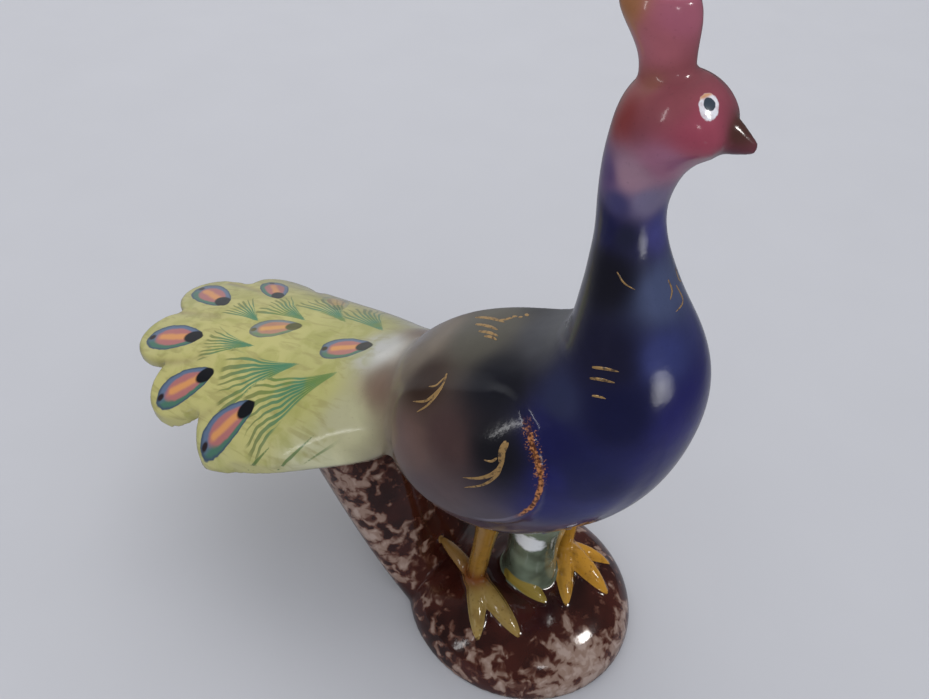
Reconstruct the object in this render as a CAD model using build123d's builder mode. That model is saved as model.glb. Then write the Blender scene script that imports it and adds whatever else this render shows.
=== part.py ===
from build123d import *
import math
import os

# Glazed earthenware peacock standing on a rock.
# Millimetres. +X is the way the bird faces, +Y its left side, +Z up.
# The origin is on the flat underside of the rock, below the middle between the feet.

# --- driving dimensions ---------------------------------------------------------
wall = 4.5              # cast wall of the body and the rock
wing_relief = 1.4       # how far the modelled wings stand off the flanks
crest_top = 262.0       # overall height
tail_thickness = 6.0    # thickness of the tail fan at its crown
mound_height = 23.0     # top of the rock under the feet
drain_bore = 10.0       # casting drain hole in the underside of the rock
drain_centre = (22.0, -3.0)
stump_bore = 9.0        # passage from the rock's hollow to the bird's hollow

# Stations along the bird, from the rump round the belly and up the neck to the face.
# Each one is an oval slice: (x, z) of its upper or inner end, (x, z) of its lower or
# outer end, and half its width across the bird.
stations = [
    ((-65.0, 96.0), (-64.0, 84.0), 4.0),      # rump
    ((-61.0, 108.0), (-56.0, 74.0), 14.5),
    ((-49.0, 125.0), (-41.0, 66.0), 27.0),
    ((-34.0, 138.0), (-24.0, 62.5), 35.0),
    ((-17.0, 147.0), (-5.0, 63.0), 37.5),     # widest, over the feet
    ((-5.0, 152.0), (14.0, 71.0), 36.5),
    ((1.5, 156.0), (32.0, 86.5), 33.0),
    ((4.5, 160.0), (45.5, 109.0), 29.5),
    ((6.2, 165.0), (51.5, 135.0), 25.2),      # breast
    ((6.6, 168.5), (51.7, 147.5), 22.8),
    ((7.0, 172.7), (49.5, 159.0), 20.3),
    ((7.4, 178.0), (44.6, 169.5), 17.5),
    ((7.8, 184.0), (38.6, 178.6), 14.8),
    ((8.0, 190.5), (33.6, 187.0), 12.4),
    ((8.0, 199.0), (28.4, 197.5), 10.1),      # narrowest of the neck
    ((7.2, 208.0), (26.0, 206.0), 9.3),
    ((6.7, 217.0), (26.0, 213.0), 9.3),
    ((7.2, 227.5), (27.8, 220.0), 10.4),
    ((11.2, 241.0), (30.6, 224.5), 12.2),     # back of the head
    ((21.0, 246.0), (33.4, 227.2), 12.4),
    ((30.5, 243.5), (35.2, 229.0), 10.4),     # brow
    ((36.0, 237.5), (36.4, 230.5), 6.2),      # face, inside the beak
]
first_hollow, last_hollow = 2, 20             # stations that the cast hollow runs through

# Tail fan: x, crown height, half-width, height at the edge.
tail_stations = [
    (-45.0, 120.0, 31.0, 98.0),
    (-63.0, 114.0, 37.0, 85.0),
    (-88.0, 104.5, 48.0, 75.5),
    (-118.0, 98.0, 54.0, 64.0),
    (-150.0, 90.0, 56.0, 62.0),
    (-175.0, 81.0, 56.0, 60.0),
    (-198.0, 71.0, 56.0, 56.0),
]
# Feather lobes of one half of the fan: place of the eye spot, the lobe's direction,
# and how far its rim is from the middle of the spot.
lobes = [((-115.0, 40.0), 116.0, 13.5), ((-145.0, 33.0), 140.0, 14.0), ((-168.0, 14.0), 168.0, 16.0)]
left_reach = 3.5        # the lobes of the left half reach this much further
lobe_length = 21.0      # half the length of a lobe
lobe_width = 15.5       # half its width
tail_roll = 3.0         # the left half of the fan sits a little higher
tail_yaw = -0.5         # and the fan swings a little to the left

# Wing outline on the flank, as x and z: front edge first, then back along the lower edge.
wing_outline = [(4.0, 143.0), (12.5, 135.0), (17.0, 120.0), (13.0, 104.0),
                (-4.0, 93.0), (-24.0, 90.0), (-40.0, 100.0), (-46.0, 116.0),
                (-34.0, 131.0), (-14.0, 141.0)]

# Rock: level ovals of the mound under the feet and of the outcrop that props the tail.
# Each oval of the outcrop: height, centre x, centre y, half-length, half-width.
mound_centre = (4.5, -3.0)
mound_size = (48.5, 45.5)
fullness = 2.6          # how square-shouldered the mound's dome is
outcrop = [(0.0, -22.0, -2.0, 32.0, 30.0), (25.0, -50.0, -2.0, 20.0, 28.0),
           (50.0, -65.0, -1.0, 24.5, 28.0), (75.0, -78.5, 0.0, 28.5, 27.5),
           (100.0, -93.0, 0.0, 27.0, 27.0)]
hollow_top = 78.0       # height of the cast hollow inside the outcrop

# Legs, toes and the stump between the legs.
ankle_radius = 4.0
leg_girths = [(0.0, ankle_radius), (0.3, 4.0), (0.7, 4.8), (1.0, 7.0)]    # share of the shin, radius
right_ankle = (-10.5, -17.5, 25.5)
left_ankle = (14.5, 15.5, 25.5)
right_hip = (-5.5, -18.0, 80.0)
left_hip = (17.0, 14.0, 80.0)
# Each toe: x and y of its tip, its root radius, and how far the tip rises off the mound.
right_toes = [(16.5, -30.0, 3.5, 0.0), (2.5, -38.5, 3.2, 0.0), (-32.5, -10.0, 3.0, 9.0)]
left_toes = [(39.6, 7.0, 4.2, 0.0), (27.4, -9.0, 3.3, 0.0), (35.0, 22.5, 3.0, 0.0)]
root_start, root_end = (2.0, -9.0, 24.0), (20.0, -12.4, 3.0, 0.0)      # root at the stump's foot
stump_centre = (6.5, -1.5)
stump_levels = [(10.0, 14.0, 12.0), (26.0, 11.5, 10.0), (42.0, 10.5, 9.5), (58.0, 12.0, 11.0),
                (80.0, 15.0, 14.0)]

# Crest: height, centre x, half-length along the bird, half-width.
crest_levels = [(238.0, 19.0, 7.6, 6.6), (247.0, 17.5, 6.8, 6.0), (253.0, 15.4, 8.3, 6.6),
                (258.5, 13.4, 9.6, 7.2), (crest_top, 13.0, 8.4, 6.0)]
# Beak: x, height of its middle, half-height, half-width.
beak_slices = [(30.0, 233.6, 6.3, 6.2), (36.0, 233.5, 4.6, 4.3), (40.0, 232.5, 2.7, 2.5),
               (42.6, 231.9, 1.2, 1.1)]


def outcrop_oval(z, shrink):
    """Level oval of the outcrop at any height, between its listed ones."""
    for low, high in zip(outcrop, outcrop[1:]):
        if low[0] <= z <= high[0]:
            share = (z - low[0]) / (high[0] - low[0])
            x, y, half_length, half_width = (a + (b - a) * share for a, b in zip(low[1:], high[1:]))
            return level_oval(z, x, y, half_length - shrink, half_width - shrink)
    raise ValueError("height outside the outcrop")


def half_oval(x_radius, y_radius, steps=8):
    """Points along half an oval, from its +X end round to its -X end."""
    angles = [math.pi * step / steps for step in range(steps + 1)]
    return [(x_radius * math.cos(a), y_radius * math.sin(a)) for a in angles]


def oval_station(station, grow):
    """One oval slice of the bird, grown or shrunk all round by a margin.

    It is two half-ovals, so that every slice starts at the same end and the loft doesn't twist.
    """
    (top_x, top_z), (low_x, low_z), half_width = station
    along = Vector(low_x - top_x, 0, low_z - top_z)
    middle = ((top_x + low_x) / 2, 0, (top_z + low_z) / 2)
    slice_plane = Plane(origin=middle, x_dir=along, z_dir=along.cross(Vector(0, 1, 0)))
    near = half_oval(along.length / 2 + grow, half_width + grow)
    far = [(-x, -y) for x, y in near]
    with BuildSketch(slice_plane) as oval:
        with BuildLine():
            Spline(near, tangents=[(0, 1), (0, -1)])
            Spline(far, tangents=[(0, -1), (0, 1)])
        make_face()
    return oval.sketch


def level_oval(z, x, y, half_length, half_width):
    """One level oval of the rock."""
    with BuildSketch(Plane.XY.offset(z)) as oval:
        with Locations((x, y)):
            Ellipse(half_length, half_width)
    return oval.sketch


def mound_oval(share, shrink):
    """Level oval of the mound, a share of its height up: a dome with a nearly level top."""
    ratio = (1 - share ** fullness) ** (1 / fullness)
    return level_oval(share * (mound_height - shrink), *mound_centre,
                      (mound_size[0] - shrink) * ratio, (mound_size[1] - shrink) * ratio)


def tail_slice(x, crown, half_width, edge, thickness):
    """Upright slice of the tail: an arched strip, convex above."""
    with BuildSketch(Plane(origin=(x, 0, 0), x_dir=(0, 1, 0), z_dir=(1, 0, 0))) as strip:
        with BuildLine():
            ThreePointArc((-half_width, edge), (0, crown), (half_width, edge))
            Line((half_width, edge), (half_width - 3, edge - thickness * 0.7))
            ThreePointArc((half_width - 3, edge - thickness * 0.7), (0, crown - thickness),
                          (3 - half_width, edge - thickness * 0.7))
            Line((3 - half_width, edge - thickness * 0.7), (-half_width, edge))
        make_face()
    return strip.sketch


def above_tail_slice(x, crown, half_width, edge, thickness):
    """Upright slice of all that is above the underside of the tail."""
    low_side = edge - thickness * 0.7
    with BuildSketch(Plane(origin=(x, 0, 0), x_dir=(0, 1, 0), z_dir=(1, 0, 0))) as space:
        with BuildLine():
            ThreePointArc((3 - half_width, low_side), (0, crown - thickness), (half_width - 3, low_side))
            Polyline((half_width - 3, low_side), (half_width + 30, 170), (-half_width - 30, 170),
                     (3 - half_width, low_side))
        make_face()
    return space.sketch


def round_section(point, direction, radius):
    """A disc that looks along a direction, for tapering limbs."""
    with BuildSketch(Plane(origin=point, z_dir=direction)) as disc:
        Circle(radius)
    return disc.sketch


def ground(x, y):
    """Height of the mound's surface."""
    reach = math.hypot((x - mound_centre[0]) / mound_size[0], (y - mound_centre[1]) / mound_size[1])
    return mound_height * (1 - reach ** fullness) ** (1 / fullness)


def toe_sections(start, toe):
    """Discs along one toe, which lies on the mound and tapers to its tip."""
    tip_x, tip_y, radius, rise = toe
    along = Vector(tip_x - start[0], tip_y - start[1], 0)
    discs = []
    for share, thick in ((0.0, 1.0), (0.3, 1.05), (0.6, 0.9), (0.85, 0.55), (1.0, 0.15)):
        x, y = start[0] + along.X * share, start[1] + along.Y * share
        lift = 0.35 * radius * thick + rise * share
        discs.append(round_section(Vector(x, y, ground(x, y) + lift), along, radius * thick))
    return discs


def beak_section(x, z, half_height, half_width):
    """Upright oval of the beak."""
    with BuildSketch(Plane(origin=(x, 0, z), x_dir=(0, 0, 1), z_dir=(1, 0, 0))) as oval:
        Ellipse(half_height, half_width)
    return oval.sketch


def save(piece, name):
    """Label a finished piece and write it as its own node."""
    piece.part.label = name
    export_step(piece.part, f"parts/{name}.step")


os.makedirs("parts", exist_ok=True)

# --- outer form of the bird, solid, and the hollow that casting leaves in it --------
with BuildPart() as bird_form:
    loft([oval_station(station, 0) for station in stations])

with BuildPart() as bird_hollow:
    loft([oval_station(station, -wall) for station in stations[first_hollow:last_hollow]])

# --- tail fan, and the space above its underside -------------------------------------
with BuildPart() as fan_form:
    loft([tail_slice(*station, tail_thickness) for station in tail_stations])
    with BuildSketch(Plane.XY):
        with BuildLine():
            Polyline((-30, -32), (-63, -38), (-90, -47), (-108, -50), (-140, -32), (-165, -12),
                     (-165, 12), (-140, 32), (-108, 50), (-90, 47), (-63, 38), (-30, 32), close=True)
        make_face()
        for (spot_x, spot_y), direction, rim in lobes:
            for side, further in ((1, left_reach), (-1, 0)):
                inset = lobe_length - rim - further
                lobe_x = spot_x - inset * math.cos(math.radians(direction))
                lobe_y = spot_y - inset * math.sin(math.radians(direction))
                with Locations(Location((lobe_x, side * lobe_y, 0), (0, 0, side * direction))):
                    Ellipse(lobe_length, lobe_width)
    extrude(amount=160, mode=Mode.INTERSECT)

with BuildPart() as above_fan:
    loft([above_tail_slice(*station, tail_thickness) for station in tail_stations])


def set_on_rump(shape):
    """Tilt and swing the fan, or its neighbour, about its root."""
    root = (-55, 0, 105)
    rolled = shape.rotate(Axis(root, (1, 0, 0)), tail_roll)
    return rolled.rotate(Axis(root, (0, 0, 1)), tail_yaw)


with BuildPart() as tail_fan:
    add(set_on_rump(fan_form.part))
    add(bird_form.part, mode=Mode.SUBTRACT)
save(tail_fan, "tail_fan")

# --- wings: low relief that follows the flanks ---------------------------------------
with BuildPart() as swollen_form:
    loft([oval_station(station, wing_relief) for station in stations])

for side, name in ((-1, "right_wing"), (1, "left_wing")):
    with BuildPart() as wing:
        add(swollen_form.part)
        with BuildSketch(Plane.XZ):
            with BuildLine():
                Spline(wing_outline, periodic=True)
            make_face()
        extrude(amount=-side * 60, mode=Mode.INTERSECT)
        add(bird_form.part, mode=Mode.SUBTRACT)
    save(wing, name)

# --- crest and beak -------------------------------------------------------------------
with BuildPart() as crest:
    loft([level_oval(z, x, 0, half_length, half_width)
          for z, x, half_length, half_width in crest_levels])
    add(bird_form.part, mode=Mode.SUBTRACT)
save(crest, "crest")

with BuildPart() as beak:
    loft([beak_section(*row) for row in beak_slices])
    add(bird_form.part, mode=Mode.SUBTRACT)
save(beak, "beak")

# --- rock, stump, legs and feet: outer forms ----------------------------------------------
shares = (0.0, 0.3, 0.6, 0.8, 0.92, 0.985)
with BuildPart() as rock_form:
    loft([mound_oval(share, 0) for share in shares])
    loft([level_oval(*level) for level in outcrop])
    add(bird_form.part, mode=Mode.SUBTRACT)
    add(set_on_rump(above_fan.part), mode=Mode.SUBTRACT)
    add(tail_fan.part, mode=Mode.SUBTRACT)

with BuildPart() as stump_form:
    loft([level_oval(z, *stump_centre, half_length, half_width)
          for z, half_length, half_width in stump_levels])
    loft(toe_sections(root_start, root_end))
    add(bird_form.part, mode=Mode.SUBTRACT)
    add(rock_form.part, mode=Mode.SUBTRACT)

for name, ankle, hip, toes in (("right", right_ankle, right_hip, right_toes),
                               ("left", left_ankle, left_hip, left_toes)):
    with BuildPart() as foot:
        with Locations(Vector(*ankle) - Vector(0, 0, 2)):
            Sphere(ankle_radius + 0.8)
        for toe in toes:
            loft(toe_sections(ankle, toe))
        add(rock_form.part, mode=Mode.SUBTRACT)
        add(stump_form.part, mode=Mode.SUBTRACT)
    save(foot, f"{name}_foot")
    with BuildPart() as leg:
        shin = Vector(*hip) - Vector(*ankle)
        loft([round_section(Vector(*ankle) + shin * share, shin, radius)
              for share, radius in leg_girths])
        for neighbour in (bird_form, rock_form, stump_form, foot):
            add(neighbour.part, mode=Mode.SUBTRACT)
    save(leg, f"{name}_leg")

# --- the hollows that casting leaves, and the passages between them ----------------------------
with BuildPart() as round_the_bird:
    loft([oval_station(station, wall) for station in stations])

with BuildPart() as rock_hollow:
    floor_share = wall / (mound_height - wall)
    loft([mound_oval(floor_share + (0.985 - floor_share) * share, wall) for share in shares])
    loft([outcrop_oval(wall + (hollow_top - wall) * share, wall + 1) for share in shares])
    add(round_the_bird.part, mode=Mode.SUBTRACT)

with BuildPart() as passages:
    with BuildSketch(Plane.XY.offset(wall * 2)):
        with Locations(stump_centre):
            Circle(stump_bore / 2)
    extrude(amount=70)
    with BuildSketch(Plane.XY):
        with Locations(drain_centre):
            Circle(drain_bore / 2)
    extrude(amount=wall * 2)

for form, hollow, name in ((bird_form, bird_hollow, "body_shell"), (rock_form, rock_hollow, "base_rock"),
                           (stump_form, passages, "support_stump")):
    with BuildPart() as casting:
        add(form.part)
        add(hollow.part, mode=Mode.SUBTRACT)
        add(passages.part, mode=Mode.SUBTRACT)
    save(casting, name)
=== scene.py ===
import math
import bpy
import numpy as np
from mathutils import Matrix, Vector
from mathutils.bvhtree import BVHTree


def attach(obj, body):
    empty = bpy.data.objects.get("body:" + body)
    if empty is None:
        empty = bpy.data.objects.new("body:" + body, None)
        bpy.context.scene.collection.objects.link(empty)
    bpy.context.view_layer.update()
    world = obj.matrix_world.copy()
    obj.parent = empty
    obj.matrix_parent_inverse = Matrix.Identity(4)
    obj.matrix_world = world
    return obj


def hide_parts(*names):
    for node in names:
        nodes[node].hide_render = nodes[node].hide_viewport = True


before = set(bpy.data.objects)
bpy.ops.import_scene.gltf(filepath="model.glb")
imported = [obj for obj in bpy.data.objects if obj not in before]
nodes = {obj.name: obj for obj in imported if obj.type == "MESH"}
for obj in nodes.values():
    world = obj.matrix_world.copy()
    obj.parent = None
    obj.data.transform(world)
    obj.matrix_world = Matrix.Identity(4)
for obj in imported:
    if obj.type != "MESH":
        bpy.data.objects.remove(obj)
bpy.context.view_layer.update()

# A glazed peacock figurine on a mottled rock. Shapes and paint are in millimetres in the frame's axes
# (+X ahead, +Y left, +Z up) and become metres as pieces are made. The studio at the end is in metres.
MM = 0.001
VOXEL = 0.8
DRAIN_X, DRAIN_Y = 22, -3      # the drain hole in the underside
names = list(nodes)


def linear(text):
    """'#rrggbb' as linear red, green and blue."""
    srgb = np.array([int(text[i:i + 2], 16) for i in (1, 3, 5)]) / 255
    return np.where(srgb < 0.04045, srgb / 12.92, ((srgb + 0.055) / 1.055) ** 2.4)


# --- one smooth glazed skin over all the CAD nodes ------------------------------------------
def gather(chosen):
    """Points, faces and node numbers of these CAD nodes' meshes."""
    points, faces, owners = [], [], []
    for name in chosen:
        mesh = nodes[name].data
        start = len(points)
        points += [vertex.co / MM for vertex in mesh.vertices]
        faces += [[start + i for i in polygon.vertices] for polygon in mesh.polygons]
        owners += [names.index(name)] * len(mesh.polygons)
    return points, faces, owners


def tree(*chosen):
    points, faces, _ = gather(chosen)
    return BVHTree.FromPolygons(points, faces)


def remeshed(points, faces):
    """Even quads over a set of solids, as arrays of points and faces."""
    mesh = bpy.data.meshes.new("raw")
    mesh.from_pydata(points, [], faces)
    raw = bpy.data.objects.new("raw", mesh)
    bpy.context.collection.objects.link(raw)
    remesh = raw.modifiers.new("even", "REMESH")
    remesh.mode = "VOXEL"
    remesh.voxel_size = VOXEL
    result = raw.evaluated_get(bpy.context.evaluated_depsgraph_get()).to_mesh()
    spots = np.empty(len(result.vertices) * 3)
    result.vertices.foreach_get("co", spots)
    corners = np.empty(len(result.loops), int)
    result.loops.foreach_get("vertex_index", corners)
    bpy.data.objects.remove(raw)
    bpy.data.meshes.remove(mesh)
    return spots.reshape(-1, 3), corners.reshape(-1, 4)


def edges_of(quads):
    pairs = np.concatenate([quads[:, [i, (i + 1) % 4]] for i in range(4)])
    return np.unique(np.sort(pairs, axis=1), axis=0)


def renumbered(quads, count):
    """Which of the points these faces use, and the faces as numbers among those."""
    used = np.unique(quads)
    place = np.zeros(count, int)
    place[used] = np.arange(len(used))
    return used, place[quads]


def outside_only(points, quads):
    """Drops the hollows inside the casting, which only the drain hole joins to the outside."""
    edges = edges_of(quads)
    near_drain = np.hypot(points[:, 0] - DRAIN_X, points[:, 1] - DRAIN_Y) < 7
    in_drain = near_drain & (abs(points[:, 2] - 3.6) < 1)
    edges = edges[~in_drain[edges].any(axis=1)]
    label = np.arange(len(points))
    while True:
        lowest = np.minimum(label[edges[:, 0]], label[edges[:, 1]])
        fresh = label.copy()
        np.minimum.at(fresh, edges[:, 0], lowest)
        np.minimum.at(fresh, edges[:, 1], lowest)
        fresh = fresh[fresh]
        if (fresh == label).all():
            break
        label = fresh
    kept = label == label[points[:, 2].argmax()]
    used, quads = renumbered(quads[kept[quads].all(axis=1)], len(points))
    return points[used], quads


def averaged(values, edges):
    """Mean of each point's neighbours."""
    total = np.zeros_like(values)
    count = np.zeros(len(values))
    for a, b in ((0, 1), (1, 0)):
        np.add.at(total, edges[:, a], values[edges[:, b]])
        np.add.at(count, edges[:, a], 1)
    return total / (count[:, None] if values.ndim > 1 else count)


def normals_of(points, quads):
    """Unit normal at each point, from the faces round it."""
    across = np.cross(points[quads[:, 2]] - points[quads[:, 0]], points[quads[:, 3]] - points[quads[:, 1]])
    total = np.zeros_like(points)
    for i in range(4):
        np.add.at(total, quads[:, i], across)
    return total / np.linalg.norm(total, axis=1)[:, None]


all_points, all_faces, all_owners = gather(names)
skin, quads = remeshed(all_points, all_faces)
skin, quads = outside_only(skin, quads)
edges = edges_of(quads)
cad_tree = BVHTree.FromPolygons(all_points, all_faces)
owner = np.array([all_owners[cad_tree.find_nearest(centre)[2]] for centre in skin[quads].mean(axis=1)])

# A step in and a slightly larger step out smooth away the voxels' steps and keep the size.
for step in (0.5, -0.52) * 12:
    skin += step * (averaged(skin, edges) - skin)

# Glaze fills the joints: a band along each one is smoothed further. The wings keep their step.
low_owner = np.full(len(skin), len(names))
high_owner = np.full(len(skin), -1)
for i in range(4):
    np.minimum.at(low_owner, quads[:, i], owner)
    np.maximum.at(high_owner, quads[:, i], owner)
wing_numbers = [names.index("right_wing"), names.index("left_wing")]
body_number, fan_number = names.index("body_shell"), names.index("tail_fan")
by_wing = np.isin(low_owner, wing_numbers) | np.isin(high_owner, wing_numbers)


def fillet(where, reach, passes):
    """Smooths the skin in a band along these points."""
    band = where.astype(float)
    for _ in range(reach):
        band = np.maximum(band, averaged(band, edges) * 1.05)
    band = np.clip(band, 0, 1)[:, None]
    for _ in range(passes):
        skin[:] += 0.5 * band * (averaged(skin, edges) - skin)


at_joint = low_owner != high_owner
fillet(at_joint & ~by_wing, 4, 14)
fillet(at_joint & by_wing, 1, 3)
# The back and the top of each wing run into the body with no step.
wing_back = (skin[:, 0] + 0.7 * (skin[:, 2] - 115) < 8) & (skin[:, 2] > 104)
fillet(at_joint & by_wing & wing_back, 14, 200)
fan_joint = (low_owner == min(body_number, fan_number)) & (high_owner == max(body_number, fan_number))
fillet(fan_joint, 7, 60)
# The rim of the fan is where the normals of neighbours differ most.
sharpness = np.linalg.norm(averaged(normals_of(skin, quads), edges), axis=1)
fan_rim = (sharpness < 0.975) & (skin[:, 0] < -70) & (skin[:, 2] > 52)
fillet(fan_rim, 2, 14)


def tree_of_skin():
    return BVHTree.FromPolygons([Vector(point) for point in skin], [tuple(quad) for quad in quads])


# The loft of the body has a seam just right of the middle of the breast and neck. There the skin takes
# the shape of the left side, mirrored.
seam_side, seam_middle, seam_half = 22, 152, 78      # how far right; middle and half of its height
skin_tree = tree_of_skin()
facing = normals_of(skin, quads)[:, 0]
on_right = abs(skin[:, 1] + seam_side / 2) < seam_side / 2
seamed = on_right & (abs(skin[:, 2] - seam_middle) < seam_half) & (facing > 0)
for i in np.flatnonzero(seamed):
    x, y, z = skin[i]
    near = skin_tree.find_nearest((x, -y, z))[0]
    share = min(1, (seam_side + y) / 6) * min(1, (seam_half - abs(z - seam_middle)) / 5) * min(1, facing[i] / 0.3)
    skin[i] += share * (np.array((near.x, -near.y, near.z)) - skin[i])


# --- helpers for painting by place ------------------------------------------------------------
def dabs(points, rows):
    """Soft blend of listed dabs. Each row: x, y, z, reach, value."""
    total, weight = 0, 0
    for x, y, z, reach, value in rows:
        value = linear(value) if isinstance(value, str) else np.array([value])
        away = ((points - (x, y, z)) ** 2).sum(axis=1) / reach ** 2
        share = (1 / (away + 0.08) ** 2)[:, None]
        total = total + share * value
        weight = weight + share
    return total / weight


def smooth(values, low, high):
    """0 below low and 1 above high, with a smooth change."""
    t = np.clip((values - low) / (high - low), 0, 1)
    return t * t * (3 - 2 * t)


def line_distance(points, line):
    """Distance of each point from a polyline, and how far along it the nearest place is, 0 to 1."""
    best = np.full(len(points), 1e9)
    along = np.zeros(len(points))
    line = np.array(line, float)
    for i, (a, b) in enumerate(zip(line, line[1:])):
        run = b - a
        t = np.clip(((points - a) @ run) / (run @ run), 0, 1)
        away = np.linalg.norm(points - a - t[:, None] * run, axis=1)
        along = np.where(away < best, (i + t) / (len(line) - 1), along)
        best = np.minimum(best, away)
    return best, along


normals = normals_of(skin, quads)
right_side = skin * (1, -1, 1)
right_side[:, 1] = -np.hypot(skin[:, 1], 3)      # both sides are painted as the right one

# Creases between the lobes of the fan, pressed into its upper face.
creases = [
    [(-137, 49), (-128, 42), (-118, 33)], [(-171, 29), (-150, 25), (-136, 19)],
    [(-184, 0), (-163, 0), (-144, 0)]]
on_fan = smooth(-skin[:, 0], 62, 72) * smooth(skin[:, 2], 54, 56)
mirrored_plan = np.stack([skin[:, 0], abs(skin[:, 1])], axis=1)
crease = np.zeros(len(skin))
for line in creases:
    away, along = line_distance(mirrored_plan, line)
    crease = np.maximum(crease, np.exp(-(away / 1.6) ** 2) * (1 - along) ** 0.7)
crease *= on_fan
pressed = crease * smooth(normals[:, 2], 0.3, 0.7) * 0.8
for _ in range(5):
    pressed = averaged(pressed, edges)
skin -= normals * pressed[:, None]
normals = normals_of(skin, quads)
skin_tree = tree_of_skin()


def laid_on_skin(line, count=6):
    """The same line with more points, each moved onto the skin."""
    line = [Vector(point) for point in line]
    finer = [a.lerp(b, i / count) for a, b in zip(line, line[1:]) for i in range(count)] + [line[-1]]
    return [tuple(skin_tree.find_nearest(point)[0]) for point in finer]


# Colours of the paint, as dabs: x, y, z, reach, value. Colours for the bird (its right side), colours for
# the legs and feet, and how much cream shows in the rock.
bird_dabs = [
    (22, -9, 243, 7, "#80424a"), (10, -8, 236, 6, "#752f2f"), (30, -9, 237, 6, "#8e3f50"),     # head
    # The pale mauve dab at (17, -9, 221) is partly the paint's own blend and partly a painted highlight, the soft
    # streak of light down the neck.
    (25, -9, 228, 5, "#8c5a72"), (17, -9, 221, 5, "#907080"), (10, -8, 219, 5, "#4a3560"),    # throat, nape
    (22, -8, 214, 4, "#6c6480"), (15, -9, 212, 4, "#37345c"),
    (12, -8, 204, 6, "#0d0e3c"), (19, -9, 203, 4, "#1c1d34"), (27, -4, 205, 5, "#3a3a70"),     # neck
    (17, -12, 190, 8, "#100f1c"), (31, -7, 188, 6, "#434c6c"), (24, -18, 168, 9, "#13122a"),
    (38, -14, 172, 6, "#2e3466"), (31, -22, 155, 9, "#0f1136"), (48, -10, 152, 9, "#1d1c58"),  # breast
    (28, -29, 128, 9, "#131744"), (46, -14, 130, 9, "#1f2056"), (34, -25, 108, 8, "#272a5e"),
    (14, -27, 139, 8, "#131444"), (19, -32, 124, 7, "#14164e"), (18, -33, 112, 6, "#1a1c5a"),
    (52, -4, 146, 8, "#1e1c5c"), (14, -24, 151, 6, "#262a48"),
    (8, -26, 82, 12, "#5a5464"),                                                              # belly
    (0, -2, 154, 8, "#37373c"), (-22, -4, 144, 9, "#4a463c"), (-42, -6, 128, 9, "#675b4e"),    # back
    (-8, -20, 144, 9, "#14141c"), (-34, -20, 130, 8, "#2e1d15"),
    (0, -30, 128, 10, "#0f0e15"), (-17, -32, 123, 8, "#443130"), (-32, -32, 112, 9, "#5c4640"),  # wing
    (-20, -36, 98, 9, "#4a393b"), (2, -34, 94, 7, "#3e343e"),
    (-54, -14, 108, 7, "#665246"), (-50, -14, 84, 9, "#5e5452"),                              # rump
    (18, -6, 243, 4, "#7c4c40"), (17, -6, 252, 5, "#96545e"), (20, -6, 259, 5, "#925162"),     # crest
    (7, -5, 259, 4, "#90603f"),
    (38, -3, 236, 3, "#482a24"), (37, -3, 229, 3, "#502a36"),                                 # beak
    (-66, 0, 112, 7, "#b0aeaa"), (-64, -30, 102, 8, "#aaa684"), (-70, -44, 82, 9, "#bab898"),  # fan
    (-88, -22, 102, 12, "#aaa668"), (-115, -30, 88, 16, "#b8b272"), (-145, -20, 88, 16, "#b6af70"),
    (-180, -10, 75, 16, "#b4ae74"), (-120, -52, 64, 12, "#b6b27c")]
limb_dabs = [
    (-7, -18, 50, 10, "#8c6628"), (-10, -17, 27, 4.5, "#642c0c"), (3, -25, 22, 6, "#907843"),
    (-3, -30, 20, 6, "#947c46"), (-22, -13, 25, 6, "#7c5c30"), (16, 14, 45, 10, "#a07226"),
    (28, 10, 22, 8, "#b8842a"), (22, 3, 22, 6, "#ae8030"), (13, -11, 22, 6, "#857436")]
cream_dabs = [
    (36, -31, 13, 7, 0.68), (44, -21, 12, 7, 0.72), (52, -5, 10, 8, 0.56), (40, -20, 17, 5, 0.66),
    (40, 8, 19, 8, 0.3), (36, -6, 20, 6, 0.3), (8, -24, 22, 12, 0.08), (24, -30, 18, 5, 0.34),
    (14, -41, 14, 7, 0.42), (-4, -41, 15, 7, 0.4), (-10, -46, 3, 7, 0.5), (25, -43, 6, 7, 0.5),
    (-24, -32, 15, 7, 0.45), (-22, -24, 22, 7, 0.12), (-41, -27, 25, 7, 0.58), (-59, -29, 43, 7, 0.66),
    (-74, -28, 58, 8, 0.64), (-95, -20, 72, 12, 0.56), (-70, -18, 62, 8, 0.46), (-50, -16, 52, 7, 0.3),
    (-20, 10, 30, 12, 0.2), (20, 30, 15, 14, 0.45), (-60, 25, 40, 14, 0.52), (47, 5, 13, 6, 0.5)]
# Eye spots of the fan: x, y, outward direction in degrees, half-length, half-width, strength.
spots = [(-113, -39.5, -134, 12.2, 6.2, 1), (-141, -32.5, -144, 13, 6.6, 1), (-163, -14.5, -172, 15, 7, 1),
         (-167.5, 14.5, 158, 16, 7.4, 1), (-143, 29, 139, 13, 6.4, 1), (-111, 32, 134, 11.5, 6, 0.35),
         (-118.5, 0.7, -155, 11.2, 5.6, 0.75), (-81.5, -1, -164, 10.8, 6.2, 0.9)]
# Tufts of barbs: x and y of the root, outward direction, length, half-spread in degrees.
tufts = [(-94, -12, -153, 37, 26), (-75, -11.5, -143, 42, 26), (-119, -10.5, -171, 27, 22),
         (-127, 1, 158, 24, 24), (-108, 9, 166, 28, 26), (-92, 14, 150, 32, 26), (-72, 12, 146, 34, 26)]
# Single blades of green near the edge of the fan.
blades = [[(-100, -46.6, 66), (-94.6, -45.3, 74.9), (-90.5, -41, 82)],
          [(-89, -44.6, 69), (-80.7, -40.9, 81.7), (-74, -33.5, 91.5)],
          [(-75, -39, 81), (-63.8, -32.5, 93), (-55, -26.5, 102.5)]]
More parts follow.
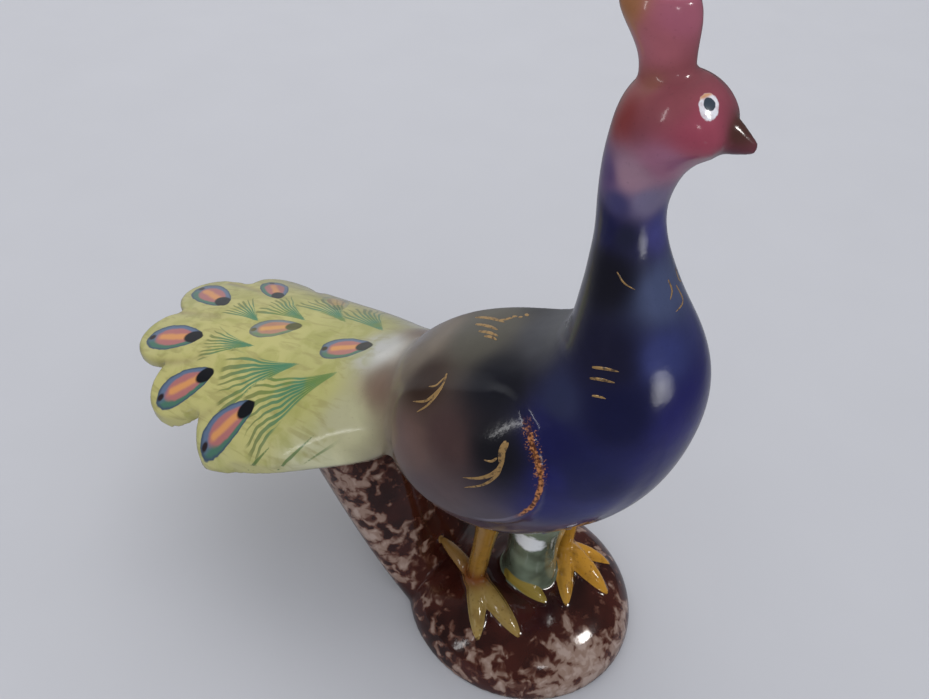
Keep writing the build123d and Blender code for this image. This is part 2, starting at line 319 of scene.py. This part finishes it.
# Front edge of the wing, which is gilded.
wing_front = [(3, -25, 143.5), (6, -27.5, 141.5), (8.5, -30, 138.5), (11, -32, 135), (13.5, -33, 131.5),
              (15.2, -33.6, 127.5), (16, -34.3, 123), (15.6, -35, 117), (14, -35.5, 112), (11.5, -36, 107),
              (6.7, -36.7, 101.7), (0.7, -37.2, 97.5), (-6, -37.4, 94.7)]
# The pointed root at the foot of the stump.
root_line = [(2, -9, 25), (11, -11, 24), (20, -12.4, 21.5)]
# Middle of the near-white patch high on the stump: a painted reflection of the white table.
table_reflection_middle = (8, -11.5, 56)


def spot_places(plan):
    """Each point's place in its nearest eye spot: outward, across, radius; and the spot's strength."""
    best = np.full((len(plan), 3), 9.0)
    strength = np.zeros(len(plan))
    for x, y, turn, half_length, half_width, strong in spots:
        c, s = math.cos(math.radians(turn)), math.sin(math.radians(turn))
        dx, dy = plan[:, 0] - x, plan[:, 1] - y
        u, v = (dx * c + dy * s) / half_length, (dy * c - dx * s) / half_width
        radius = np.hypot(u, v / (0.95 + 0.25 * np.clip(u, -1, 1)))
        nearer = radius < best[:, 2]
        best[nearer] = np.stack([u, v, radius], axis=1)[nearer]
        strength[nearer] = strong
    return best, strength


def tuft_places(plan):
    """Each point's place in its nearest tuft: share of the reach, which barb, and how far out."""
    best = np.full((len(plan), 3), 9.0)
    for x, y, turn, reach, spread in tufts:
        dx, dy = plan[:, 0] - x, plan[:, 1] - y
        far = np.hypot(dx, dy) / reach
        angle = (np.degrees(np.arctan2(dy, dx)) - turn + 180) % 360 - 180
        barb = angle / spread / (0.4 + 0.6 * np.clip(far, 0, 1))
        out = np.maximum(abs(far - 0.5) * 2, abs(barb))
        nearer = out < best[:, 2]
        best[nearer] = np.stack([far, barb, out], axis=1)[nearer]
    return best


plan = skin[:, :2]
toe_nodes = ("right_leg", "left_leg", "right_foot", "left_foot")
low = skin[:, 2] < 100
limb = np.full(len(skin), -9.0)
stump = np.full(len(skin), -9.0)
limb_tree, stump_tree, rock_tree = tree(*toe_nodes), tree("support_stump"), tree("base_rock", "body_shell")
# How much nearer each low point is to a leg or foot, or to the stump, than to anything else.
for i in np.flatnonzero(low & (skin[:, 0] > -45)):
    to_limb, to_stump, to_rock = (t.find_nearest(skin[i])[3] for t in (limb_tree, stump_tree, rock_tree))
    limb[i] = min(to_stump, to_rock) - to_limb
    stump[i] = min(to_limb, to_rock) - to_stump
gild, gild_along = line_distance(right_side, wing_front)
# The painted eyes: each side's middle, and the directions across and up on the cheek.
eye_across = np.array((0.87, 0.49, 0.04))
eye_up = np.array((-0.36, 0.59, 0.72))
from_eye = right_side - np.where(skin[:, 1:2] > 0, (28.8, -8.8, 239.6), (30.6, -7.1, 241.8))
blade = np.full(len(skin), 9.0)
for line in blades:
    away, along = line_distance(skin, laid_on_skin(line))
    blade = np.minimum(blade, away + 0.5 * abs(2 * along - 1))
spot, spot_strength = spot_places(plan)
tuft = tuft_places(plan)
underneath = normals[:, 2] < -0.05
spot[underneath, 2] = tuft[underneath, 2] = blade[underneath] = 9

# Every layer is stored on the points and read by the paint's nodes.
layers = {
    "paint": np.c_[dabs(right_side, bird_dabs), np.ones(len(skin))],
    "limb_paint": np.c_[dabs(skin, limb_dabs), np.ones(len(skin))],
    "cream": dabs(skin, cream_dabs)[:, 0],
    "spot": spot, "spot_strength": spot_strength, "blade": blade,
    "root": line_distance(skin, root_line)[0], "pale": np.linalg.norm(skin - table_reflection_middle, axis=1),
    "tuft": tuft,
    "eye": np.stack([from_eye @ eye_across, from_eye @ eye_up, np.zeros(len(skin))], axis=1),
    "fan": on_fan, "crease": crease, "limb": limb, "stump": stump,
    "gild": gild, "gild_along": gild_along}


# --- materials -------------------------------------------------------------------------------
class Paint:
    """Short forms for making a node material."""

    def __init__(self, name):
        self.material = bpy.data.materials.new(name)
        self.material.use_nodes = True
        self.tree = self.material.node_tree
        self.shader = self.tree.nodes["Principled BSDF"]
        self.place = self.node("ShaderNodeTexCoord").outputs["Object"]

    def node(self, kind, inputs=(), **settings):
        node = self.tree.nodes.new(kind)
        for key, value in settings.items():
            setattr(node, key, value)
        for key, value in dict(inputs).items():
            self.put(node.inputs[key], value)
        return node

    def put(self, socket, value):
        if isinstance(value, bpy.types.NodeSocket):
            self.tree.links.new(value, socket)
        elif isinstance(value, str):
            socket.default_value = (*linear(value), 1)
        else:
            socket.default_value = value

    def layer(self, name, output="Fac"):
        return self.node("ShaderNodeAttribute", attribute_name=name).outputs[output]

    def parts(self, vector):
        return self.node("ShaderNodeSeparateXYZ", {0: vector}).outputs

    def math(self, operation, a, b=0.0, c=0.0):
        return self.node("ShaderNodeMath", {0: a, 1: b, 2: c}, operation=operation).outputs[0]

    def step(self, value, low, high):
        """0 below low and 1 above high, with a smooth change; the other way round if high < low."""
        if low > high:
            return self.math("SUBTRACT", 1.0, self.step(value, high, low))
        inputs = {"Value": value, "From Min": low, "From Max": high}
        return self.node("ShaderNodeMapRange", inputs, interpolation_type="SMOOTHSTEP").outputs[0]

    def both(self, *masks):
        result = masks[0]
        for mask in masks[1:]:
            result = self.math("MULTIPLY", result, mask)
        return result

    def either(self, *masks):
        result = masks[0]
        for mask in masks[1:]:
            result = self.math("MAXIMUM", result, mask)
        return result

    def mix(self, share, first, second):
        node = self.node("ShaderNodeMix", {0: share, 6: first, 7: second}, data_type="RGBA")
        return node.outputs[2]

    def length(self, x, y, half_x, half_y):
        """Distance from the middle of an oval, 1 at its rim."""
        shares = {0: self.math("DIVIDE", x, half_x), 1: self.math("DIVIDE", y, half_y)}
        place = self.node("ShaderNodeCombineXYZ", shares).outputs[0]
        return self.node("ShaderNodeVectorMath", {0: place}, operation="LENGTH").outputs["Value"]

    def noise(self, size, detail=2.0, distortion=0.0, stretch=None, roughness=0.5):
        """Noise whose features are about this many millimetres across."""
        place = self.place
        if stretch:
            place = self.node("ShaderNodeMapping", {"Vector": place, "Scale": stretch}).outputs[0]
        inputs = {"Vector": place, "Scale": 1 / (size * MM), "Detail": detail,
                  "Distortion": distortion, "Roughness": roughness}
        return self.node("ShaderNodeTexNoise", inputs).outputs[0]

    def glaze(self, colour, roughness, coat_roughness=0.04):
        """A glassy coat over the colour, with the slight waviness of fired glaze."""
        self.put(self.shader.inputs["Base Color"], colour)
        self.put(self.shader.inputs["Roughness"], roughness)
        self.put(self.shader.inputs["Specular IOR Level"], 0.12)
        self.put(self.shader.inputs["Coat Weight"], 1.0)
        self.put(self.shader.inputs["Coat Roughness"], coat_roughness)
        waves = self.math("ADD", self.noise(9, 3), self.math("MULTIPLY", self.noise(0.8, 2), 0.05))
        bump = {"Strength": 0.25, "Distance": 0.6 * MM, "Height": waves}
        wavy = self.node("ShaderNodeBump", bump).outputs[0]
        self.put(self.shader.inputs["Normal"], wavy)
        self.put(self.shader.inputs["Coat Normal"], wavy)


def bird_paint(name):
    p = Paint(name)
    base = p.layer("paint", "Color")
    # airbrushed colour: soft clouds, then fine spatter
    clouds = p.noise(14, 4, 0.4)
    brighter = p.node("ShaderNodeHueSaturation", {"Value": 1.22, "Color": base}).outputs[0]
    colour = p.mix(p.step(clouds, 0.35, 0.75), base, brighter)
    spatter = p.step(p.noise(0.9, 1), 0.66, 0.74)
    colour = p.mix(p.math("MULTIPLY", spatter, 0.1), colour, "#17161f")
    # the fan
    fan = p.layer("fan")
    crease = p.layer("crease")
    stain = p.step(p.noise(11, 4, 0.8), 0.45, 0.68)
    fan_colour = p.mix(p.math("MULTIPLY", stain, 0.5), base, "#8f9048")
    streaks = p.step(p.noise(3.2, 3, 0.6, (0.2, 1, 1)), 0.5, 0.68)
    fan_colour = p.mix(p.math("MULTIPLY", streaks, 0.4), fan_colour, "#877f4c")
    # The creases are painted darker brown: partly their own colour, partly painted shade in the grooves.
    fan_colour = p.mix(p.math("MULTIPLY", crease, 0.6), fan_colour, "#857455")
    tuft = p.parts(p.layer("tuft", "Vector"))
    wobble = p.math("MULTIPLY", p.math("SUBTRACT", p.noise(18, 2), 0.5), 0.7)
    barb = p.math("ADD", tuft[1], wobble)
    wave = p.math("SINE", p.math("MULTIPLY", barb, 27.0))
    uneven = p.math("MULTIPLY_ADD", p.math("SINE", p.math("MULTIPLY", barb, 6.3)), 0.3, 1.0)
    taper = p.math("MULTIPLY_ADD", p.both(tuft[0], uneven), 1.9, -1.45)
    strokes = p.step(p.math("SUBTRACT", wave, taper), -0.2, 0.35)
    barbs = p.both(p.step(tuft[2], 1.0, 0.85), strokes, p.step(tuft[0], 0.0, 0.15))
    barb_colour = p.mix(p.step(p.noise(12, 2), 0.45, 0.62), "#2f755a", "#56783c")
    barb_colour = p.mix(p.step(tuft[0], 0.55, 1.0), barb_colour, "#6c7240")
    wash = p.both(p.step(tuft[2], 1.0, 0.35), p.step(tuft[0], 0.7, 0.2))
    fan_colour = p.mix(p.both(wash, 0.7), fan_colour, barb_colour)
    fan_colour = p.mix(p.both(barbs, 0.8), fan_colour, barb_colour)
    fan_colour = p.mix(p.both(p.step(p.layer("blade"), 0.85, 0.5), 0.8), fan_colour, "#4d6a3a")
    spot = p.parts(p.layer("spot", "Vector"))
    drift = p.math("MULTIPLY", p.math("SUBTRACT", p.noise(5, 2), 0.5), 0.18)
    radius = p.math("ADD", spot[2], drift)
    rim = p.mix(p.step(spot[1], 0.05, 0.5), "#5c6c86", "#48705f")
    rim = p.mix(p.step(radius, 0.84, 0.97), rim, "#3f5062")
    eye_spot = p.mix(p.step(radius, 0.76, 0.6), rim, "#a86a68")
    streak = p.step(p.math("ABSOLUTE", p.math("ADD", spot[1], drift)), 0.34, 0.08)
    eye_spot = p.mix(p.both(streak, p.step(radius, 0.66, 0.5)), eye_spot, "#cf8f58")
    inner_dot = p.length(p.math("ADD", spot[0], 0.72), spot[1], 0.8, 1.0)
    eye_spot = p.mix(p.step(inner_dot, 0.5, 0.38), eye_spot, "#121318")
    outer_dot = p.length(p.math("SUBTRACT", spot[0], 0.84), spot[1], 0.6, 1.0)
    eye_spot = p.mix(p.step(outer_dot, 0.26, 0.12), eye_spot, "#2b2024")
    eye_spot = p.mix(p.layer("spot_strength"), fan_colour, eye_spot)
    fan_colour = p.mix(p.step(radius, 1.02, 0.96), fan_colour, eye_spot)
    colour = p.mix(fan, colour, fan_colour)
    # the eye
    eye = p.parts(p.layer("eye", "Vector"))
    ragged = p.math("MULTIPLY", p.math("SUBTRACT", p.noise(1.3, 2), 0.5), 0.25)

    def oval(x, y, half_width, half_height):
        across, up = p.math("SUBTRACT", eye[0], x), p.math("SUBTRACT", eye[1], y)
        length = p.length(across, up, half_width, half_height)
        return p.step(p.math("ADD", length, ragged), 1.0, 0.88)

    white = oval(0, 0, 2.6, 3.3)
    colour = p.mix(white, colour, p.mix(p.step(p.noise(1.6, 2), 0.4, 0.7), "#e4e3ea", "#c9b9c0"))
    lid = p.step(p.math("MULTIPLY_ADD", eye[0], -0.45, eye[1]), 1.9, 2.8)
    colour = p.mix(p.both(white, lid, 0.85), colour, "#d08e52")
    colour = p.mix(oval(0.15, 0.55, 1.55, 1.65), colour, "#39424f")
    # gilding along the front of the wing, worn to specks at its top
    gild, along = p.layer("gild"), p.layer("gild_along")
    line = p.step(p.math("MULTIPLY_ADD", p.noise(1.8, 2), 1.2, gild), 1.6, 1.2)
    specks = p.step(p.math("ADD", p.noise(0.7, 2), p.math("MULTIPLY", gild, -0.07)), 0.42, 0.5)
    specks = p.both(specks, p.step(gild, 3.4, 1.0), p.step(along, 0.04, 0.2), p.step(along, 0.55, 0.35))
    gold = p.either(p.both(line, p.step(along, 0.1, 0.2), p.step(along, 0.8, 0.72)), specks)
    colour = p.mix(gold, colour, p.mix(p.step(p.noise(1.2, 2), 0.4, 0.6), "#5e3420", "#cf8853"))
    rim = p.both(p.step(gild, 1.0, 0.5), p.step(along, 0.7, 0.85), p.step(along, 1.0, 0.9))
    colour = p.mix(p.both(rim, 0.5), colour, "#7c7688")
    p.put(p.shader.inputs["Metallic"], p.both(gold, 0.4))
    p.glaze(colour, p.math("ADD", p.math("MULTIPLY", gold, 0.1), 0.28), 0.12)
    return p.material


def base_paint(name):
    p = Paint(name)
    cream = p.layer("cream")
    large, small = p.noise(16, 2), p.noise(4.6, 2.5, 0.4)
    level = p.math("ADD", p.math("MULTIPLY", large, 0.3), p.math("MULTIPLY", small, 0.7))
    amount = p.math("ADD", level, p.math("MULTIPLY", p.math("SUBTRACT", cream, 0.5), 0.5))
    rock = p.mix(p.step(p.noise(20, 3), 0.35, 0.65), "#240d0a", "#3e1912")
    rock = p.mix(p.step(amount, 0.44, 0.51), rock, "#543227")
    rock = p.mix(p.step(amount, 0.49, 0.57), rock, "#887064")
    rock = p.mix(p.step(amount, 0.58, 0.68), rock, "#a08c82")
    limb = p.layer("limb_paint", "Color")
    limb = p.mix(p.both(p.step(p.noise(5, 3), 0.5, 0.7), 0.45), limb, "#6b4a1c")
    limb = p.mix(p.both(p.step(p.noise(1.4, 2), 0.6, 0.7), 0.4), limb, "#5a3a16")
    stump = p.mix(p.step(p.noise(12, 2), 0.3, 0.7), "#464c3e", "#74806e")
    from_pale = p.math("ADD", p.layer("pale"), p.math("MULTIPLY", p.noise(3, 2), 5))
    # The near-white patch on the stump is a painted reflection of the white table.
    stump = p.mix(p.step(from_pale, 10, 7), stump, "#e4e6e8")
    stump = p.mix(p.step(p.layer("root"), 3.6, 3.0), stump, "#8a7634")
    colour = p.mix(p.step(p.layer("stump"), -0.1, 0.3), rock, stump)
    colour = p.mix(p.step(p.layer("limb"), -0.1, 0.3), colour, limb)
    p.glaze(colour, 0.2, 0.09)
    return p.material


# --- pieces ------------------------------------------------------------------------------------
def add_object(name, points, faces, material):
    """A new smooth-shaded object."""
    mesh = bpy.data.meshes.new(name)
    mesh.from_pydata(points, [], faces)
    mesh.polygons.foreach_set("use_smooth", np.ones(len(faces), bool))
    mesh.materials.append(material)
    piece = bpy.data.objects.new(name, mesh)
    bpy.context.collection.objects.link(piece)
    return piece


def make_piece(name):
    """The part of the skin that belongs to one CAD node, with its layers."""
    used, faces = renumbered(quads[owner == names.index(name)], len(skin))
    paint = base_paint if name in (*toe_nodes, "base_rock", "support_stump") else bird_paint
    piece = add_object(name + "_glaze", skin[used] * MM, faces, paint(name + "_paint"))
    mesh = piece.data
    mesh.normals_split_custom_set_from_vertices(normals[used])
    kinds = {1: ("FLOAT", "value"), 3: ("FLOAT_VECTOR", "vector"), 4: ("FLOAT_COLOR", "color")}
    for layer, values in layers.items():
        kind, field = kinds[1 if values.ndim == 1 else values.shape[1]]
        attribute = mesh.attributes.new(layer, kind, "POINT")
        attribute.data.foreach_set(field, values[used].astype(np.float32).ravel())
    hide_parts(name)
    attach(piece, "root")


for name in names:
    make_piece(name)

# The drain hole under the base is closed by a dark disc: bare clay's colour, darkened as painted shade of the
# hollow inside.
bpy.ops.mesh.primitive_cylinder_add(
    vertices=64, radius=5.3 * MM, depth=1 * MM, location=(DRAIN_X * MM, DRAIN_Y * MM, 3 * MM))
drain = bpy.context.object
drain.name = "drain_hole_floor"
p = Paint("bare_clay_in_painted_shade")
# Bare clay's colour, darkened as painted shade of the hollow behind the hole.
p.put(p.shader.inputs["Base Color"], p.mix(p.noise(3, 3), "#4a3a30", "#6a5546"))
p.put(p.shader.inputs["Roughness"], 0.85)
drain.data.materials.append(p.material)
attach(drain, "root")

# --- gold strokes: thin raised ribbons of metal lustre -----------------------------------------
# Points on the skin, then the stroke's half-width.
strokes = [
    [(20.3, -20, 165.3), (24, -20.2, 166.8), (28, -19.8, 167.4), 0.5],
    [(20.7, -21, 162), (24, -21.3, 163.4), (27.9, -21, 164), 0.5],
    [(22.8, -23, 157.7), (24.8, -23, 158.4), (26.9, -22.9, 158.6), 0.4],
    [(31.4, -3, 190.2), (33.1, -2.8, 187.2), (33.7, -4.7, 185.3), 0.35],
    [(33.4, -0.2, 187.3), (36.2, 0.8, 182.4), (36, -4.3, 181.7), 0.35],
    [(19.3, -11.2, 193.2), (21.9, -11.7, 190.9), (25.1, -11, 189.5), 0.25],
    [(-27, -18.5, 136.2), (-26.4, -23, 134.7), (-28.2, -25.6, 131.2), (-30.9, -26.6, 128.2),
     (-35.4, -26, 125), 0.6],
    [(-27, -19.7, 135.5), (-28.8, -22.7, 133.7), (-31.4, -22.9, 131.8), 0.4],
    [(-26, -23.2, 135), (-27, -25.6, 132), (-29.2, -27.8, 128), (-32.4, -28.8, 124), 0.45],
    [(2.3, -32.2, 134), (1.7, -33.6, 131), (1.9, -35.3, 126.8), 1.25],
    [(2.4, -33.8, 130.5), (2.6, -35, 127.2), (2, -36, 124.3), (-0.1, -37, 121), (-4, -37.8, 117.7),
     (-9, -38, 115), 0.8],
    [(2.9, -35.5, 126), (1.9, -36.8, 121.7), (-1.9, -38, 116), (-8.2, -38.7, 111), 0.5],
    [(0.7, -34.9, 127.9), (-0.8, -35.5, 126), (-3.3, -35.7, 125.2), 0.45],
    [(-30.5, 7, 140.2), (-24.5, 5.8, 143.4), (-17.8, 3.2, 146.6), 0.8],
    [(-28, 2.4, 141.7), (-23.1, 1.1, 144.2), (-18, -1.2, 146.5), 0.75],
    [(-24.6, -1.8, 143.4), (-20.4, -2.7, 145.4), (-16.4, -4.3, 147), 0.7],
    [(-21.2, -4.4, 144.8), (-18.6, -4.8, 145.9), (-15.9, -6.1, 146.9), 0.6],
    [(-18.4, 5.6, 146.3), (-17.9, 5.8, 146.5), (-16.9, 6, 146.9), 0.6],
    [(-16.8, 7, 147), (-16, 6.9, 147.3), (-15, 6.8, 147.7), 0.6],
    [(-14.4, 6.7, 148), (-13.8, 6.7, 148.2), (-13.1, 6.7, 148.5), 0.6],
    [(-12.9, 8.7, 148.6), (-12.3, 8.2, 148.8), (-11.4, 7.6, 149.2), 0.7]]


def stroke_mesh(points, half_width):
    """A pointed ribbon that follows a smooth line over the skin."""
    count, cross = 24, 4
    line = [Vector(point) for point in points]
    vertices, faces = [], []
    for i in range(count + 1):
        t = i / count * (len(line) - 1)
        k = min(int(t), len(line) - 2)
        a, b = line[max(k - 1, 0)], line[k]
        c, d = line[k + 1], line[min(k + 2, len(line) - 1)]
        f = t - k
        curve = (2 * a - 5 * b + 4 * c - d) * f ** 2 + (3 * b - a - 3 * c + d) * f ** 3
        middle = 0.5 * (2 * b + (c - a) * f + curve)
        heading = (c - b).normalized()
        spot, normal, _, _ = skin_tree.find_nearest(middle)
        aside = normal.cross(heading).normalized()
        share = i / count
        width = half_width * (0.08 + math.sin(math.pi * (0.12 + 0.88 * share)) ** 0.7)
        for j in range(cross + 1):
            across = 2 * j / cross - 1
            point, normal, _, _ = skin_tree.find_nearest(spot + aside * across * width)
            vertices.append((point + normal * (0.12 * (1 - across ** 2) - 0.02)) * MM)
    for i in range(count):
        for j in range(cross):
            k = i * (cross + 1) + j
            faces.append((k, k + 1, k + cross + 2, k + cross + 1))
    return vertices, faces


def gold_paint():
    p = Paint("gold_lustre")
    worn = p.step(p.noise(1.3, 3), 0.46, 0.68)
    p.put(p.shader.inputs["Base Color"], p.mix(worn, "#b5905c", "#56412b"))
    p.put(p.shader.inputs["Metallic"], p.math("MULTIPLY_ADD", worn, -0.3, 0.5))
    p.put(p.shader.inputs["Roughness"], p.math("ADD", p.both(worn, 0.2), 0.32))
    p.put(p.shader.inputs["Coat Weight"], 0.4)
    return p.material


gold = gold_paint()
for side, word in ((1, "right"), (-1, "left")):
    vertices, faces = [], []
    for *points, half_width in strokes:
        if side < 0 and points[0][1] > -2:
            continue
        more, quads_of_stroke = stroke_mesh([(x, y * side, z) for x, y, z in points], half_width)
        faces += [tuple(i + len(vertices) for i in face) for face in quads_of_stroke]
        vertices += more
    piece = add_object(f"gold_strokes_{word}", vertices, faces, gold)
    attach(piece, "root")

# --- floor, light and camera --------------------------------------------------------------------
bpy.ops.mesh.primitive_plane_add(size=6)
floor = bpy.context.object
floor.name = "floor"
p = Paint("table")
p.put(p.shader.inputs["Base Color"], p.mix(p.noise(60, 2), "#b8b8bd", "#bcbcc1"))
p.put(p.shader.inputs["Specular IOR Level"], 0.0)
floor.data.materials.append(p.material)
floor.visible_glossy = False
# What the glaze mirrors of the table is only its near part.
bpy.ops.mesh.primitive_plane_add(size=1.1, location=(-0.08, 0.12, 0.0001))
mirrored = bpy.context.object
mirrored.name = "floor_near"
p = Paint("table_mirrored")
x, y, _ = p.parts(p.place)
p.put(p.shader.inputs["Base Color"], "#8c8c92")
p.put(p.shader.inputs["Specular IOR Level"], 0.0)
p.put(p.shader.inputs["Alpha"], p.step(p.length(x, y, 0.55, 0.55), 1.0, 0.1))
mirrored.data.materials.append(p.material)
for kind in ("camera", "diffuse", "shadow", "transmission"):
    setattr(mirrored, "visible_" + kind, False)


def direction(azimuth, elevation, distance):
    a, e = math.radians(azimuth), math.radians(elevation)
    return Vector((math.cos(a) * math.cos(e), math.sin(a) * math.cos(e), math.sin(e))) * distance


# What the glaze mirrors of the room: dim, with a soft brighter side behind the tail.
world = bpy.data.worlds.new("studio")
world.use_nodes = True
nodes_of_world, links = world.node_tree.nodes, world.node_tree.links
toward = nodes_of_world.new("ShaderNodeVectorMath")
toward.operation = "DOT_PRODUCT"
links.new(nodes_of_world.new("ShaderNodeTexCoord").outputs["Generated"], toward.inputs[0])
toward.inputs[1].default_value = direction(140, 25, 1)
glow = nodes_of_world.new("ShaderNodeMapRange")
glow.interpolation_type = "SMOOTHSTEP"
links.new(toward.outputs["Value"], glow.inputs["Value"])
for socket, value in (("From Min", 0.55), ("From Max", 0.98), ("To Min", 0.09), ("To Max", 0.4)):
    glow.inputs[socket].default_value = value
background = nodes_of_world["Background"]
background.inputs["Color"].default_value = (0.93, 0.96, 1.0, 1)
links.new(glow.outputs[0], background.inputs["Strength"])
bpy.context.scene.world = world
# AgX would grey the dark glazes.
bpy.context.scene.view_settings.view_transform = "Standard"


def area_light(name, place, target, width, height, power, colour, glint=False, spread=180):
    """A soft light that the glaze doesn't mirror, or a glint that only the glaze shows."""
    light = bpy.data.lights.new(name, "AREA")
    light.shape = "ELLIPSE" if glint else "RECTANGLE"
    light.size, light.size_y = width, height
    light.energy = power
    light.spread = math.radians(spread)
    light.color = colour
    lamp = bpy.data.objects.new(name, light)
    lamp.location = place
    lamp.rotation_euler = (Vector(target) - Vector(place)).to_track_quat("-Z", "Y").to_euler()
    lamp.visible_camera = False
    lamp.visible_glossy = glint
    lamp.visible_diffuse = not glint
    bpy.context.collection.objects.link(lamp)


# A pale room all round, which lights the object evenly and isn't mirrored.
bpy.ops.mesh.primitive_uv_sphere_add(segments=48, ring_count=24, radius=3)
room = bpy.context.object
room.name = "room"
room.visible_glossy = False
p = Paint("room_light")
p.put(p.shader.inputs["Base Color"], "#000000")
p.put(p.shader.inputs["Emission Color"], (0.93, 0.96, 1.0, 1))
p.put(p.shader.inputs["Emission Strength"], 0.88)
room.data.materials.append(p.material)

# Name, place, target, width, height, power, colour; then glints, which stand where the photo shows them.
middle = Vector((-0.03, 0, 0.1))
breast, rock_top = Vector((0.039, -0.016, 0.16)), Vector((0.039, -0.0155, 0.0176))
area_light("ceiling", (-0.7, 0.8, 1.6), (-0.05, 0, 0), 1.8, 1.4, 11, (1, 0.99, 0.97))
area_light("front", middle + direction(-50, 35, 1.8), middle, 1.4, 1.0, 4, (1, 0.98, 0.96))
white = (1, 1, 1)
area_light("glint_rock", rock_top + direction(16, 49, 1.4), rock_top, 0.26, 0.3, 5, (1, 0.98, 0.95), True)
area_light("glint_breast", breast + direction(-27, -4, 0.15), breast, 0.13, 0.06, 0.004, white, True, 40)
area_light("glint_head", middle + direction(-42, 32, 1.3), middle, 0.14, 0.14, 0.35, white, True)
area_light("glint_side", middle + direction(-115, 24, 1.6), middle, 0.07, 1.2, 1.6, white, True)


# The photo's view.
camera = bpy.data.cameras.new("camera")
camera.sensor_width = 36
camera.lens = 31.7
eye_point = bpy.data.objects.new("camera", camera)
eye_point.location = (0.06293, -0.18342, 0.327)
look = Vector((-0.32825, 0.64422, -0.69082))
eye_point.rotation_euler = look.to_track_quat("-Z", "Y").to_euler()
eye_point.rotation_euler.rotate_axis("Z", math.radians(3.3))
bpy.context.collection.objects.link(eye_point)
bpy.context.scene.camera = eye_point

bpy.context.view_layer.update()
